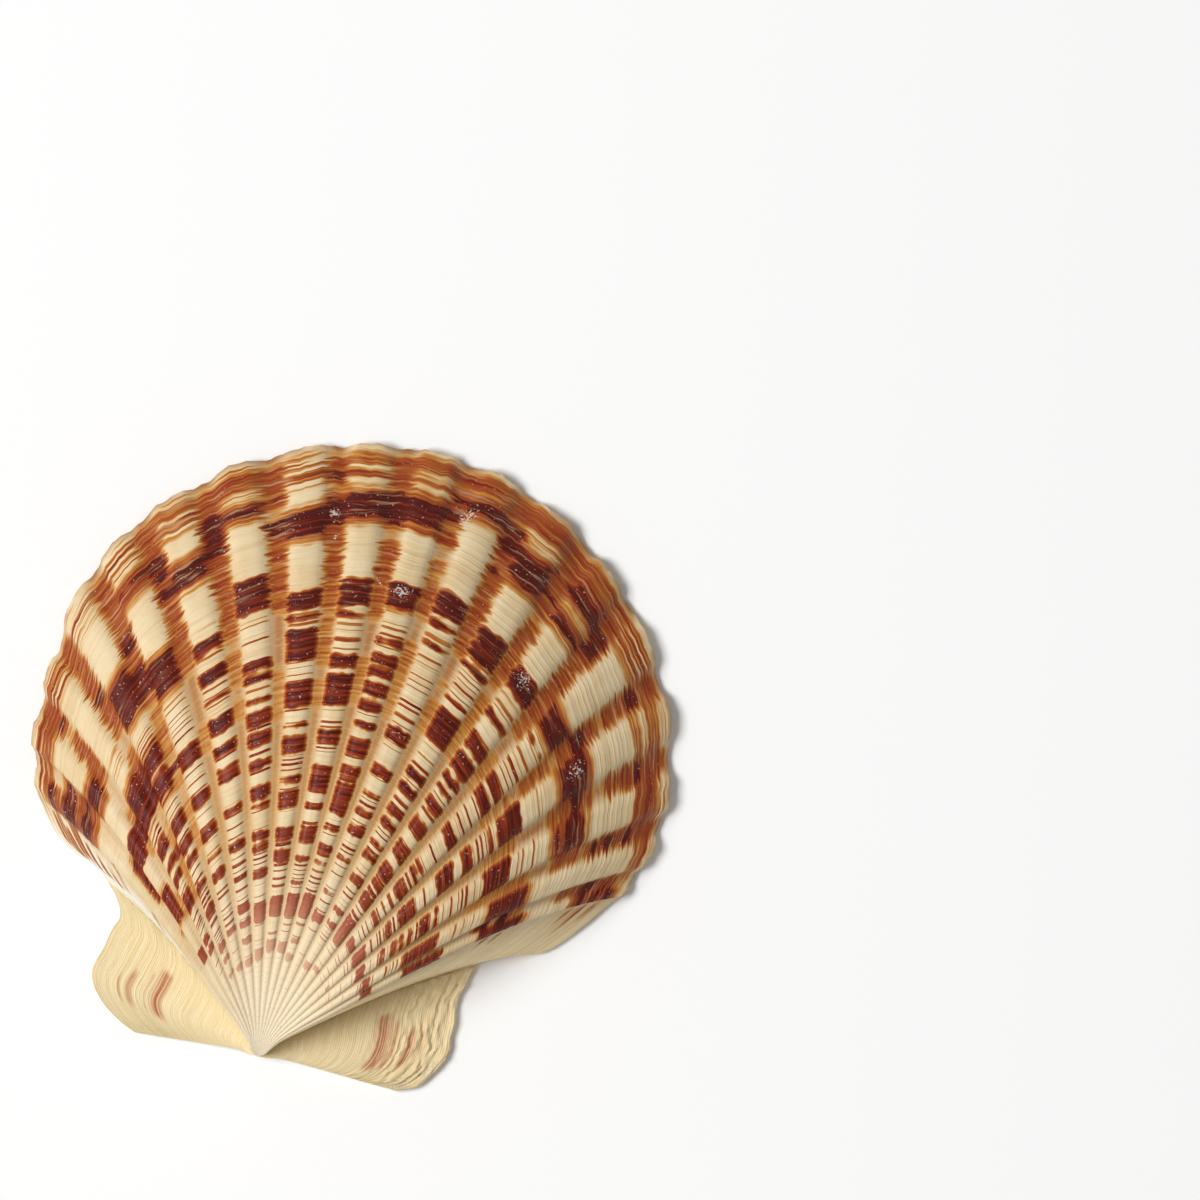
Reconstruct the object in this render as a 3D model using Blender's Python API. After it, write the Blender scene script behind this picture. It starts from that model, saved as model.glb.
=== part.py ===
"""Scallop shell: one valve of a calico scallop, lying on its edge with the ribbed outside up.

The shell grew in one piece, so it is one solid. Everything is laid out in millimetres around the
beak, the tip where all the ribs meet: the hinge line runs along X, the shell opens towards +Y and
its dome rises along +Z. The finished solid stands on z = 0 and is centred over the origin.
"""

import bmesh
import bpy
import numpy as np

MM = 0.001

# The shell is drawn as rays from the beak. Each row is one ray: its place in the count of ribs
# (whole numbers are rib crests, halves are grooves), its heading at the beak and at the edge in
# degrees from +Y, clockwise, and its length to the edge. Ribs lean outwards as they grow.
LEFT_EAR = (
    (-2.50, -93.4, -93.4, 11.5),
    (-2.40, -88.5, -90.0, 13.1),
    (-2.30, -83.0, -84.0, 15.2),
    (-2.15, -76.0, -77.5, 16.8),
    (-2.00, -68.0, -69.5, 17.0),
    (-1.85, -61.0, -62.0, 17.35),
    (-1.70, -55.0, -57.0, 18.2),
    (-1.60, -51.5, -55.0, 19.5),
)
LEFT_FLANK = (
    (-1.50, -49.6, -54.1, 21.1),
    (-1.35, -49.3, -53.8, 22.9),
    (-1.10, -48.9, -55.1, 25.0),
    (-0.80, -48.7, -55.4, 27.3),
    (-0.50, -48.3, -53.8, 30.3),
)
RIBS = (
    (0, -46.4, -51.9, 31.9),
    (1, -41.2, -47.3, 35.8),
    (2, -36.0, -41.3, 39.6),
    (3, -30.5, -35.0, 44.4),
    (4, -24.3, -28.3, 48.2),
    (5, -17.6, -21.8, 51.2),
    (6, -11.4, -14.8, 53.7),
    (7, -5.3, -8.1, 55.5),
    (8, 0.7, -1.9, 56.8),
    (9, 5.8, 4.4, 57.4),
    (10, 11.4, 10.2, 57.1),
    (11, 17.2, 16.9, 56.2),
    (12, 22.6, 23.6, 54.4),
    (13, 28.3, 30.8, 51.8),
    (14, 33.6, 38.0, 48.6),
    (15, 39.1, 45.0, 44.5),
    (16, 44.2, 50.3, 40.2),
    (17, 47.4, 53.7, 36.4),
)
RIGHT_FLANK = (
    (17.50, 48.9, 54.6, 35.3),
    (17.75, 50.2, 57.3, 30.2),
    (18.00, 50.8, 58.1, 27.7),
    (18.30, 51.4, 56.6, 24.9),
    (18.50, 52.0, 55.7, 21.5),
)
RIGHT_EAR = (
    (18.60, 54.5, 57.5, 20.9),
    (18.70, 57.5, 59.7, 20.0),
    (18.85, 63.0, 64.0, 18.8),
    (19.00, 70.5, 71.5, 18.0),
    (19.15, 77.0, 77.5, 17.3),
    (19.30, 83.5, 84.0, 16.2),
    (19.40, 89.0, 90.0, 14.8),
    (19.50, 93.0, 93.0, 13.2),
)
RAY_BEND = 2.6

# Outside of the dome.
DOME_RISE = 13.2
DOME_START_POWER = 0.5
DOME_END_POWER = 1.5
CROWN_DROP = 0.47
FLANK_POWER = 24
BEAK_HEIGHT = 1.7
RIM_HEIGHT = 0.64
EAR_BULGE = 0.45

# Ribs: rounded-square ridges, wider than the grooves between them.
RIB_RELIEF = 0.27
RIB_RELIEF_MOST = 1.15
RIB_SQUARENESS = 1.7
RIB_WIDENING = 0.25

# Wall, hinge plate and ligament pit of the inside. The wall beside the ears leans inwards.
BEAK_WALL = 1.3
RIM_WALL = 0.8
RIM_INSET = 0.48
FLANK_WALL = 0.7
FLANK_WALL_SLOPE = 3.6
FLANK_WALL_CORNER = 3
PLATE_DEPTH = 2.0
PLATE_EASE = 1.2
PLATE_SHARE_MOST = 0.5
PIT_HALF_ANGLE = 42.0
PIT_RISE = 0.9
INNER_RELIEF_SHARE = 0.85
INNER_RELIEF_FROM = 0.4

# Mesh steps: rays per rib, rows from beak to edge.
RIB_STEPS = (-0.5, -0.36, -0.18, 0.0, 0.18, 0.36)
FLANK_STEPS = (0.14, 0.3, 0.45, 0.6, 0.75, 0.87, 0.95)
EAR_STEPS = 8
OUTER_ROWS = 15
OUTER_ROW_POWER = 1.35
PIT_ROWS = (0.2, 0.55)
PLATE_ROWS = PIT_ROWS + (0.75, 1.0)
CAVITY_ROWS = 10
CAVITY_ROW_POWER = 1.25
CEILING_COLUMNS = 441
CEILING_ROWS = 90
NEAREST_BEAK = 0.004
FINITE_STEP = 1e-4
NEARLY_ZERO = 1e-9
SHARP_EDGE_DEG = 50

SHELL_CREAM = (0.86, 0.74, 0.52, 1.0)

RAYS = np.array(LEFT_EAR + LEFT_FLANK + RIBS + RIGHT_FLANK + RIGHT_EAR)
LEFT_SUTURE = LEFT_FLANK[0][0]
RIGHT_SUTURE = RIGHT_FLANK[-1][0]
FIRST_GROOVE = LEFT_FLANK[-1][0]
LAST_GROOVE = RIGHT_FLANK[0][0]
MIDDLE = (LEFT_SUTURE + RIGHT_SUTURE) / 2
HALF_COUNT = (RIGHT_SUTURE - LEFT_SUTURE) / 2


def ray_values(count):
    """Heading at the beak, heading at the edge (both in radians) and length of the rays."""
    knots = RAYS[:, 0]
    i = np.clip(np.searchsorted(knots, count, side="right") - 1, 0, len(knots) - 2)
    step = knots[i + 1] - knots[i]
    t = (count - knots[i]) / step
    values = []
    for column in RAYS[:, 1:].T:
        slope = np.gradient(column, knots)
        values.append(
            column[i] * (2 * t**3 - 3 * t**2 + 1)
            + column[i + 1] * (3 * t**2 - 2 * t**3)
            + slope[i] * step * (t**3 - 2 * t**2 + t)
            + slope[i + 1] * step * (t**3 - t**2)
        )
    return np.radians(values[0]), np.radians(values[1]), values[2]


def plan(count, growth):
    """Where a ray is, seen from above, at a share of its growth from beak (0) to edge (1)."""
    start, end, length = ray_values(count)
    heading = start + (end - start) * growth**RAY_BEND
    return growth * length * np.sin(heading), growth * length * np.cos(heading)


def smooth_outside(count, growth):
    """The outside without its ribs, as an array of points."""
    x, y = plan(count, growth)
    across = np.abs(count - MIDDLE) / HALF_COUNT
    crown = 1 - CROWN_DROP * across**2
    flank = np.sqrt(np.clip(1 - across**FLANK_POWER, 0, 1))
    along = growth**DOME_START_POWER * (1 - growth**DOME_END_POWER)
    peak = (DOME_START_POWER / (DOME_START_POWER + DOME_END_POWER)) ** (1 / DOME_END_POWER)
    along_most = peak**DOME_START_POWER * (1 - peak**DOME_END_POWER)
    dome = np.where(across < 1, DOME_RISE * crown * flank * along / along_most, 0)
    ear_share = np.clip((across - 1) * HALF_COUNT, 0, 1)
    ear = EAR_BULGE * np.sin(np.pi * ear_share) * np.sin(np.pi * growth)
    base = RIM_HEIGHT + (BEAK_HEIGHT - RIM_HEIGHT) * (1 - growth)
    return np.stack([x, y, base + dome + ear], axis=-1)


def rib_wave(count):
    """1 on a rib's crest and 0 in a groove, on the flanks and on the ears."""
    squared = np.tanh(RIB_SQUARENESS * (np.cos(2 * np.pi * count) + RIB_WIDENING))
    low = np.tanh(RIB_SQUARENESS * (RIB_WIDENING - 1))
    high = np.tanh(RIB_SQUARENESS * (RIB_WIDENING + 1))
    ribbed = (count > FIRST_GROOVE) & (count < LAST_GROOVE)
    return np.where(ribbed, (squared - low) / (high - low), 0)


def normals_and_pitch(count, growth):
    """Outward normals of the smooth outside, and the distance there from rib to rib."""
    step = FINITE_STEP
    by_count = smooth_outside(count + step, growth) - smooth_outside(count - step, growth)
    by_growth = smooth_outside(count, growth + step) - smooth_outside(count, growth - step)
    normal = np.cross(by_count, by_growth)
    normal /= np.linalg.norm(normal, axis=-1, keepdims=True)
    return normal, np.linalg.norm(by_count, axis=-1) / (2 * step)


def rib_height(pitch):
    return RIB_RELIEF_MOST * (1 - np.exp(-RIB_RELIEF * pitch / RIB_RELIEF_MOST))


def ribbed_outside(count, growth):
    normal, pitch = normals_and_pitch(count, growth)
    lift = rib_height(pitch) * rib_wave(count)
    return smooth_outside(count, growth) + normal * lift[..., None]


def ceiling(x, y, wall):
    """Height of a surface that lies a wall's thickness inside the smooth outside."""
    counts = np.linspace(RAYS[0, 0], RAYS[-1, 0], CEILING_COLUMNS)
    growths = np.linspace(NEAREST_BEAK, 1, CEILING_ROWS)
    outside = smooth_outside(*np.meshgrid(counts, growths)).reshape(-1, 3)
    height = np.empty(x.shape)
    for i in np.ndindex(x.shape):
        off_axis = (outside[:, 0] - x[i]) ** 2 + (outside[:, 1] - y[i]) ** 2
        near = off_axis < wall[i] ** 2
        height[i] = np.min(outside[near, 2] - np.sqrt(wall[i] ** 2 - off_axis[near]))
    return np.maximum(height, 0)


def suture_gap(x, y):
    """Distance from a point under the dome to the nearer of the two lines where the ears begin."""
    reach = np.hypot(x, y)
    gaps = []
    for suture, side in ((LEFT_SUTURE, 1), (RIGHT_SUTURE, -1)):
        start, end, length = ray_values(np.array(suture))
        heading = start + (end - start) * np.minimum(reach / length, 1) ** RAY_BEND
        beyond = np.maximum(reach - length, 0)
        gaps.append(side * (x * np.cos(heading) - y * np.sin(heading)) + beyond)
    return np.minimum(*gaps)


def inside(counts):
    """Rows of points of the inside, from the hinge plate under the beak to the edge."""
    start, end, length = ray_values(counts)
    reach = 1 - RIM_INSET / length
    toward = np.maximum(np.cos(start), NEARLY_ZERO)
    plate = np.minimum(PLATE_DEPTH / toward / length, PLATE_SHARE_MOST)
    cavity = np.linspace(0, 1, CAVITY_ROWS + 1)[1:] ** CAVITY_ROW_POWER
    shares = [plate * share for share in PLATE_ROWS]
    shares += [plate + (1 - plate) * share for share in cavity]
    growth = np.array(shares) * reach
    count = np.broadcast_to(counts, growth.shape)
    x, y = plan(count, growth)
    wall = BEAK_WALL + (RIM_WALL - BEAK_WALL) * growth
    z = ceiling(x, y, wall)
    leaning = FLANK_WALL_SLOPE * np.maximum(suture_gap(x, y) - FLANK_WALL, 0)
    corner = (z**FLANK_WALL_CORNER + leaning**FLANK_WALL_CORNER) ** (1 / FLANK_WALL_CORNER)
    under_dome = (count > LEFT_SUTURE) & (count < RIGHT_SUTURE) & (corner > 0)
    z = np.where(under_dome, z * leaning / np.maximum(corner, NEARLY_ZERO), z)
    z *= np.clip((y - PLATE_DEPTH) / PLATE_EASE, 0, 1)
    z[-1] = 0
    pitch = normals_and_pitch(count, growth)[1]
    fade = np.clip((growth - INNER_RELIEF_FROM) / (1 - INNER_RELIEF_FROM), 0, 1)
    z += INNER_RELIEF_SHARE * fade * rib_height(pitch) * rib_wave(count)
    in_pit = np.abs(start) < np.radians(PIT_HALF_ANGLE)
    z[: len(PIT_ROWS), in_pit] = PIT_RISE
    return np.stack([x, y, z], axis=-1)


def ray_counts():
    left = np.linspace(RAYS[0, 0], LEFT_SUTURE, EAR_STEPS + 1)[:-1]
    steps = np.array((0, *FLANK_STEPS))
    left_flank = FIRST_GROOVE - (FIRST_GROOVE - LEFT_SUTURE) * steps[::-1]
    ribs = [rib[0] + step for rib in RIBS for step in RIB_STEPS]
    right_flank = LAST_GROOVE + (RIGHT_SUTURE - LAST_GROOVE) * steps
    right = np.linspace(RIGHT_SUTURE, RAYS[-1, 0], EAR_STEPS + 1)
    return np.concatenate([left, [LEFT_SUTURE], left_flank[:-1], ribs, right_flank, right])


def build_mesh(name):
    counts = ray_counts()
    rows = (np.arange(1, OUTER_ROWS + 1) / OUTER_ROWS) ** OUTER_ROW_POWER
    outer = ribbed_outside(*np.meshgrid(counts, rows))
    inner = inside(counts)
    beak = np.array([0.0, 0.0, BEAK_HEIGHT])
    under_beak = np.array([0.0, 0.0, 0.0])

    everything = np.concatenate([outer.reshape(-1, 3), inner.reshape(-1, 3), [beak, under_beak]])
    low = everything.min(axis=0)
    high = everything.max(axis=0)
    origin = np.array([(low[0] + high[0]) / 2, (low[1] + high[1]) / 2, low[2]])

    bm = bmesh.new()

    def add(point):
        return bm.verts.new((point - origin) * MM)

    tip = add(beak)
    under_tip = add(under_beak)
    outer_rows = [[add(point) for point in row] for row in outer]
    inner_rows = [[add(point) for point in row] for row in inner]
    columns = len(counts)

    for c in range(columns - 1):
        bm.faces.new((tip, outer_rows[0][c + 1], outer_rows[0][c]))
        bm.faces.new((under_tip, inner_rows[0][c], inner_rows[0][c + 1]))
    for near, far in zip(outer_rows, outer_rows[1:]):
        for c in range(columns - 1):
            bm.faces.new((near[c], near[c + 1], far[c + 1], far[c]))
    for near, far in zip(inner_rows, inner_rows[1:]):
        for c in range(columns - 1):
            bm.faces.new((near[c], far[c], far[c + 1], near[c + 1]))
    for c in range(columns - 1):
        bm.faces.new((outer_rows[-1][c], outer_rows[-1][c + 1], inner_rows[-1][c + 1], inner_rows[-1][c]))
    for c in (0, columns - 1):
        upper = [tip] + [row[c] for row in outer_rows]
        lower = [under_tip] + [row[c] for row in inner_rows]
        bm.faces.new(upper + lower[::-1])

    bmesh.ops.triangulate(bm, faces=bm.faces[:])
    bmesh.ops.recalc_face_normals(bm, faces=bm.faces[:])
    mesh = bpy.data.meshes.new(name)
    bm.to_mesh(mesh)
    bm.free()
    mesh.shade_smooth()
    mesh.set_sharp_from_angle(angle=np.radians(SHARP_EDGE_DEG))
    return mesh


def shell_material():
    material = bpy.data.materials.new("shell")
    material.use_nodes = True
    surface = material.node_tree.nodes["Principled BSDF"]
    surface.inputs["Base Color"].default_value = SHELL_CREAM
    surface.inputs["Roughness"].default_value = 0.42
    surface.inputs["Metallic"].default_value = 0.0
    return material


def main():
    for old in list(bpy.data.objects):
        bpy.data.objects.remove(old, do_unlink=True)
    mesh = build_mesh("valve")
    mesh.materials.append(shell_material())
    valve = bpy.data.objects.new("valve", mesh)
    bpy.context.scene.collection.objects.link(valve)


main()
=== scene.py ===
"""The looks of the calico scallop valve: its fine shape, its markings, a floor, lights and a camera.

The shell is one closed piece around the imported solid. Its smooth form is worked out here in
millimetres around the beak, from the same rays as the solid, and a Geometry Nodes tree raises the
ribs, the growth rests and the ripples of the ears on it. The markings are laid out rib by rib as
shares of growth, kept as attributes, and drawn by the shell's material.
"""

from functools import partial

import bpy
import numpy as np
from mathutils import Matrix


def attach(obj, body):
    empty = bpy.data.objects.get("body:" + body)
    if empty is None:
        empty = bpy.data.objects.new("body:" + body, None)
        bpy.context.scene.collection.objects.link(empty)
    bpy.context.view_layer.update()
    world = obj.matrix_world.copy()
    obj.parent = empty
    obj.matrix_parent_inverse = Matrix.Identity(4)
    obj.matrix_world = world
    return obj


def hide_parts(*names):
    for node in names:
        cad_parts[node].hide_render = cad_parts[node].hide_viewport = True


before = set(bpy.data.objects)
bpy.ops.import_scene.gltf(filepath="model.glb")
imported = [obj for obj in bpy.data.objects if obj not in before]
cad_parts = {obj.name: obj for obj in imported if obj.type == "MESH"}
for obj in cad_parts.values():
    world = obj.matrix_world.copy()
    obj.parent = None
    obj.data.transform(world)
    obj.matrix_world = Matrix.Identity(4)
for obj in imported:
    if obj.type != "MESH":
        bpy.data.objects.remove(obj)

bl_info = {
    "name": "Calico scallop valve",
    "version": (1, 0, 0),
    "blender": (4, 5, 0),
    "location": "3D View > Sidebar > Shell",
    "description": "Builds one patterned scallop valve, dome up, with its floor, lights and camera",
    "category": "Object",
}

MM = 0.001

# The rays that the shell grew along. Each row is one ray: its place in the count of ribs (whole
# numbers are rib crests, halves are grooves), its heading at the beak and at the edge in degrees
# from +Y, clockwise, and its length to the edge in mm.
LEFT_EAR = (
    (-2.50, -93.4, -93.4, 11.5),
    (-2.40, -88.5, -90.0, 13.1),
    (-2.30, -83.0, -84.0, 15.2),
    (-2.15, -76.0, -77.5, 16.8),
    (-2.00, -68.0, -69.5, 17.0),
    (-1.85, -61.0, -62.0, 17.35),
    (-1.70, -55.0, -57.0, 18.2),
    (-1.60, -51.5, -55.0, 19.5),
)
LEFT_FLANK = (
    (-1.50, -49.6, -54.1, 21.1),
    (-1.35, -49.3, -53.8, 22.9),
    (-1.10, -48.9, -55.1, 25.0),
    (-0.80, -48.7, -55.4, 27.3),
    (-0.50, -48.3, -53.8, 30.3),
)
RIBS = (
    (0, -46.4, -51.9, 31.9),
    (1, -41.2, -47.3, 35.8),
    (2, -36.0, -41.3, 39.6),
    (3, -30.5, -35.0, 44.4),
    (4, -24.3, -28.3, 48.2),
    (5, -17.6, -21.8, 51.2),
    (6, -11.4, -14.8, 53.7),
    (7, -5.3, -8.1, 55.5),
    (8, 0.7, -1.9, 56.8),
    (9, 5.8, 4.4, 57.4),
    (10, 11.4, 10.2, 57.1),
    (11, 17.2, 16.9, 56.2),
    (12, 22.6, 23.6, 54.4),
    (13, 28.3, 30.8, 51.8),
    (14, 33.6, 38.0, 48.6),
    (15, 39.1, 45.0, 44.5),
    (16, 44.2, 50.3, 40.2),
    (17, 47.4, 53.7, 36.4),
)
RIGHT_FLANK = (
    (17.50, 48.9, 54.6, 35.3),
    (17.75, 50.2, 57.3, 30.2),
    (18.00, 50.8, 58.1, 27.7),
    (18.30, 51.4, 56.6, 24.9),
    (18.50, 52.0, 55.7, 21.5),
)
RIGHT_EAR = (
    (18.60, 54.5, 57.5, 20.9),
    (18.70, 57.5, 59.7, 20.0),
    (18.85, 63.0, 64.0, 18.8),
    (19.00, 70.5, 71.5, 18.0),
    (19.15, 77.0, 77.5, 17.3),
    (19.30, 83.5, 84.0, 16.2),
    (19.40, 89.0, 90.0, 14.8),
    (19.50, 93.0, 93.0, 13.2),
)
RAY_BEND = 2.6
RAYS = np.array(LEFT_EAR + LEFT_FLANK + RIBS + RIGHT_FLANK + RIGHT_EAR)
LEFT_SUTURE = LEFT_FLANK[0][0]
RIGHT_SUTURE = RIGHT_FLANK[-1][0]
FIRST_GROOVE = LEFT_FLANK[-1][0]
LAST_GROOVE = RIGHT_FLANK[0][0]
MIDDLE = (LEFT_SUTURE + RIGHT_SUTURE) / 2
HALF_COUNT = (RIGHT_SUTURE - LEFT_SUTURE) / 2
LONGEST_RAY = RAYS[:, 3].max()

# Outside of the dome, in mm.
DOME_RISE = 13.2
DOME_START_POWER = 0.5
DOME_END_POWER = 1.5
CROWN_DROP = 0.47
FLANK_POWER = 24
BEAK_HEIGHT = 1.7
RIM_HEIGHT = 0.64
EAR_BULGE = 0.45

# Wall, hinge plate and ligament pit of the inside, in mm.
BEAK_WALL = 1.3
RIM_WALL = 0.8
RIM_INSET = 0.48
FLANK_WALL = 0.7
FLANK_WALL_SLOPE = 3.6
FLANK_WALL_CORNER = 3
PLATE_DEPTH = 2.0
PLATE_EASE = 1.2
PLATE_SHARE_MOST = 0.5
PIT_HALF_ANGLE = 42.0
PIT_EDGE_ANGLE = 8.0
PIT_RISE = 0.9
PIT_LEVEL = 0.5
PIT_LIP = 0.7
INNER_RELIEF_SHARE = 0.85
INNER_RELIEF_FROM = 0.4

# The beak's tip leans a little over the hinge line, and is blunt: its rays spread at once to the
# sides, in mm.
BEAK_LEAN = 0.35
BEAK_LEAN_REACH = 1.5
BEAK_SPREAD = 0.45

# Crests lag behind the grooves along each growth line: they rise leaning back towards the beak, by
# this much of their height, and the growth lines bow across each rib by this share of growth.
CREST_LAG = 0.22
CREST_LAG_FROM = 0.25
CREST_LAG_TO = 0.7
LINE_BOW = 0.005
LINE_WAVER = 0.0016
# The grooves reach this far beyond the smooth edge, in mm.
EDGE_GAIN = 0.15
# Irregular waves of the free edge: how fast each runs along the count, and its height in mm.
EDGE_WAVES = ((0.9, 0.08), (2.1, 0.07), (4.7, 0.07), (9.5, 0.06), (17.0, 0.05), (29.0, 0.05))

# How finely the surface is divided: columns across one rib, and rows from the beak to the edge.
RIB_STEPS = (-0.5, -0.44, -0.38, -0.32, -0.25, -0.17, -0.08, 0.0, 0.08, 0.17, 0.25, 0.32, 0.38, 0.44)
FLANK_COLUMNS = 12
EAR_COLUMNS = 42
OUTER_ROWS = 180
OUTER_ROW_POWER = 1.1
PLATE_ROWS = 7
CAVITY_ROWS = 62
CAVITY_ROW_POWER = 1.2
CEILING_COLUMNS = 441
CEILING_ROWS = 90
NEAREST_BEAK = 0.004
HULL_FROM = 0.05
HULL_ROWS = 40
FINITE_STEP = 1e-4
NEARLY_ZERO = 1e-9

# Sizes of the surface's patterns, in mm: along growth for the lines, and across for the grains.
REST_DRIFT_MM = 2.9
EAR_REACH = 17.0
EAR_RIDGE_MM = 0.85
EAR_CRINKLE_MM = 1.3
EAR_CRINKLE_DEPTH = 6.5
RAGGED_MM = 0.30
MARK_DRIFT_MM = 1.8
STREAK_MM = 0.32
ARC_MM = 0.60
ARC_DRIFT_MM = 3.3
BAND_LINE_MM = 0.42
RAISED_LINE_HIGHLIGHT_MM = 0.36
CREAM_LINE_MM = 0.53
EAR_LINE_MM = 0.63
FINE_LINE_MM = 0.14
LIRA_MM = 0.65
CLOUD_MM = 3.8
# Size of the painted highlight glints on the dark marks.
GLINT_PAINTED_MM = 0.22
CRUMB_MM = 0.24
PATCH_MM = 3.1
GRAIN_MM = 0.26
INNER_CLOUD_MM = 8.3
INNER_GRAIN_MM = 0.42
INNER_LINE_MM = 0.82
BOARD_GRAIN_MM = 25.0
# Crinkles of the ear ridges and threads on the flanks, for each step of the count.
EAR_CRINKLES = 14.0
THREADS = 11
# Place in the count of the raised line near the hinge edge of the left ear.
HINGE_LINE_COUNT = -2.42
# How gradually a mark ends at the side of a rib, in steps of the count.
SIDE_EASE = 0.07
# Steps that set one rib's noise apart from the next, and one seed's from another's.
RIB_NOISE_STEP = 7.31
SEED_NOISE_STEP = 1.37
SHARP_EDGE_DEG = 50
FLOOR_DROP = 0.00005

# Colours of small patterns, as sRGB hex.
MARK_FRINGE = "DDBF8E"
CREAM_LINE = "C9A873"
WORN_PINK = "BE7558"
WORN_RED = "8C3A22"
# Painted highlight: colour of the thin lines painted along the raised growth lines.
RAISED_LINE_HIGHLIGHT = "D8B084"
# Painted highlight: colour of the small glints on the dark marks.
GLINT_PAINTED_PALE = "EBC9B8"
RUBBED_WHITE = "EFE6DC"
RIM_BROWN = "8F5A2C"
INNER_PINK = "E3D3D2"
INNER_STAIN = "C79A5C"
INNER_RIM = "B98B52"
SKY_WHITE = "FFFCF7"
KEY_COLOUR = (1.0, 0.995, 0.985)

RANGE = "ShaderNodeMapRange"
NOISE = "ShaderNodeTexNoise"
XYZ = "ShaderNodeCombineXYZ"
MIX = "ShaderNodeMix"
FIELD = "ShaderNodeAttribute"
NAMED = "GeometryNodeInputNamedAttribute"
# Settings and colour sockets of the nodes that lay one colour over another.
RGBA = {"output": 2, "data_type": "RGBA"}
UNDER = 6
OVER = 7
# Inputs of the relief tree, each with the setting that fills it.
RELIEF_INPUTS = (
    ("Rib relief", "rib_relief"),
    ("Most relief", "rib_relief_most"),
    ("Squareness", "rib_squareness"),
    ("Widening", "rib_widening"),
    ("Rest depth", "rest_depth"),
    ("Rest spacing", "rest_spacing"),
    ("Ear ripple", "ear_ripple"),
    ("Seed", "seed"),
)

# Dark marks on the crest of each rib, as (from, to) in hundredths of the growth from beak to edge.
CREST_DARK = (
    ((78, 83), (84, 90), (92, 95)),
    ((26.8, 30.2), (39, 48), (56.5, 64), (75.5, 80)),
    ((25.8, 27.3), (28.3, 29.8), (36.6, 40.9), (43.2, 45.5), (46.7, 49), (50.3, 54), (58, 68)),
    ((17, 18), (20.2, 21.3), (22.6, 24), (30, 32.2), (35.6, 37.4), (41.5, 43.2), (44.4, 47),
     (48.2, 51.6), (56.5, 61.3), (62, 66), (73.5, 82)),
    ((16.4, 17.4), (23.4, 24.5), (34, 36), (38, 39.2), (42, 44.4), (48, 51.2), (56, 60), (71, 77.8),
     (91, 92.4)),
    ((16, 17.2), (20, 21), (23, 24.2), (25.8, 27), (36.5, 38.5), (43, 44.7), (49, 52), (54, 56),
     (57.8, 61), (63.6, 64.4), (66.8, 69.3), (71.8, 74.5), (84.5, 88.5)),
    ((16.2, 18.2), (22.6, 25.8), (30, 31.8), (34.8, 36), (36.6, 38.4), (41.8, 43), (43.6, 46),
     (48.6, 50.5), (52.3, 55.2), (56, 58.6), (59.6, 61), (63.2, 64.6), (65.2, 67), (74.8, 81),
     (91, 93)),
    ((17.2, 19.2), (23, 26.5), (32, 34.3), (35.5, 38), (40.8, 44), (45, 46.4), (49.9, 53.2),
     (54.2, 55), (57.6, 62), (65, 70.6), (71.8, 73), (73.8, 77), (85.2, 90)),
    ((16.8, 18.6), (22.8, 26.6), (28.2, 28.8), (32, 33), (35, 38), (40.6, 41.6), (43.4, 48), (51.4, 54),
     (57.6, 63), (63.8, 66.2), (71.8, 73), (73.8, 78.4), (88, 92.4)),
    ((15.8, 17), (18.8, 19.6), (23.2, 27), (32, 32.6), (34, 35.4), (37.6, 38.6), (40.4, 45.8), (46.8, 48.6),
     (50, 53.2), (54.6, 56), (57.4, 59.4), (60, 62.4), (63, 64.8), (65, 67), (68.2, 69.6), (74, 78.6),
     (88, 92.2)),
    ((23.4, 25), (28.2, 28.8), (33.8, 34.8), (38.4, 40.4), (42, 43), (45, 46), (48.5, 50.4), (54.5, 57),
     (70.8, 71.6), (74, 75.2), (76, 80), (92.8, 95.2)),
    ((16, 17.4), (24, 25), (26.4, 27.4), (32, 33.6), (36.4, 38), (39, 40), (42.2, 44), (44.8, 46),
     (48.4, 50.4), (51.4, 53), (58.4, 64), (65.4, 66), (71, 72.2), (73, 78.4), (87, 92.2)),
    ((16.8, 18), (23, 28.2), (30.6, 33), (34.4, 35.4), (36.2, 39), (40.5, 43.4), (45.4, 48.2), (50.2, 52.3),
     (53.6, 54.4), (55.6, 57), (57.8, 61.2), (62, 65), (68, 69.6), (73.6, 78.4), (87, 89), (91.6, 94.4)),
    ((24.6, 26.2), (31.2, 32.4), (33.8, 34.4), (37.4, 39.4), (41.6, 42.6), (43.3, 44.2), (50.2, 52.4),
     (58.6, 61.2), (61.8, 64), (72.8, 73.4), (75.4, 80)),
    ((18, 18.6), (24.8, 28.4), (33.4, 34.6), (36.6, 41), (46, 50.6), (52.2, 55.2), (59, 60), (61.2, 67),
     (76, 82)),
    ((25.6, 28), (31.8, 32.8), (34.6, 36.2), (37, 38), (39, 39.8), (41.8, 44.4), (45.4, 46.6),
     (57.6, 64), (74.6, 76), (76.6, 81.4)),
    ((27.8, 30), (38.4, 48), (60.6, 70.8)),
    ((29, 32.4), (41, 52), (62, 73.6), (87.4, 89.6), (90.4, 93), (94, 96.6)),
)
# Orange-brown on the crests besides the rims of the dark marks.
CREST_AMBER = (
    ((76, 96),),
    ((38, 49), (74, 81), (93, 96)),
    ((57, 69),),
    ((55, 67), (72.6, 83)),
    ((70, 78.4), (89, 93.5)),
    ((83.6, 89.4), (97, 98.2)),
    ((90, 93.6), (95.4, 97.4)),
    ((84.6, 90.6),),
    ((87.2, 93), (97.4, 98)),
    ((87, 93.2), (96.4, 99)),
    ((91.6, 96.4), (97.6, 99)),
    ((86, 93), (95.2, 99)),
    ((86.4, 90), (91, 99)),
    ((74.8, 80.6), (94, 94.6)),
    ((75, 83), (92.4, 93.4), (95.6, 97.2)),
    ((74, 82), (92.6, 96.6)),
    ((60, 71.6), (96.4, 97.2)),
    ((61, 74.6), (86, 97.4)),
)
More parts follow.
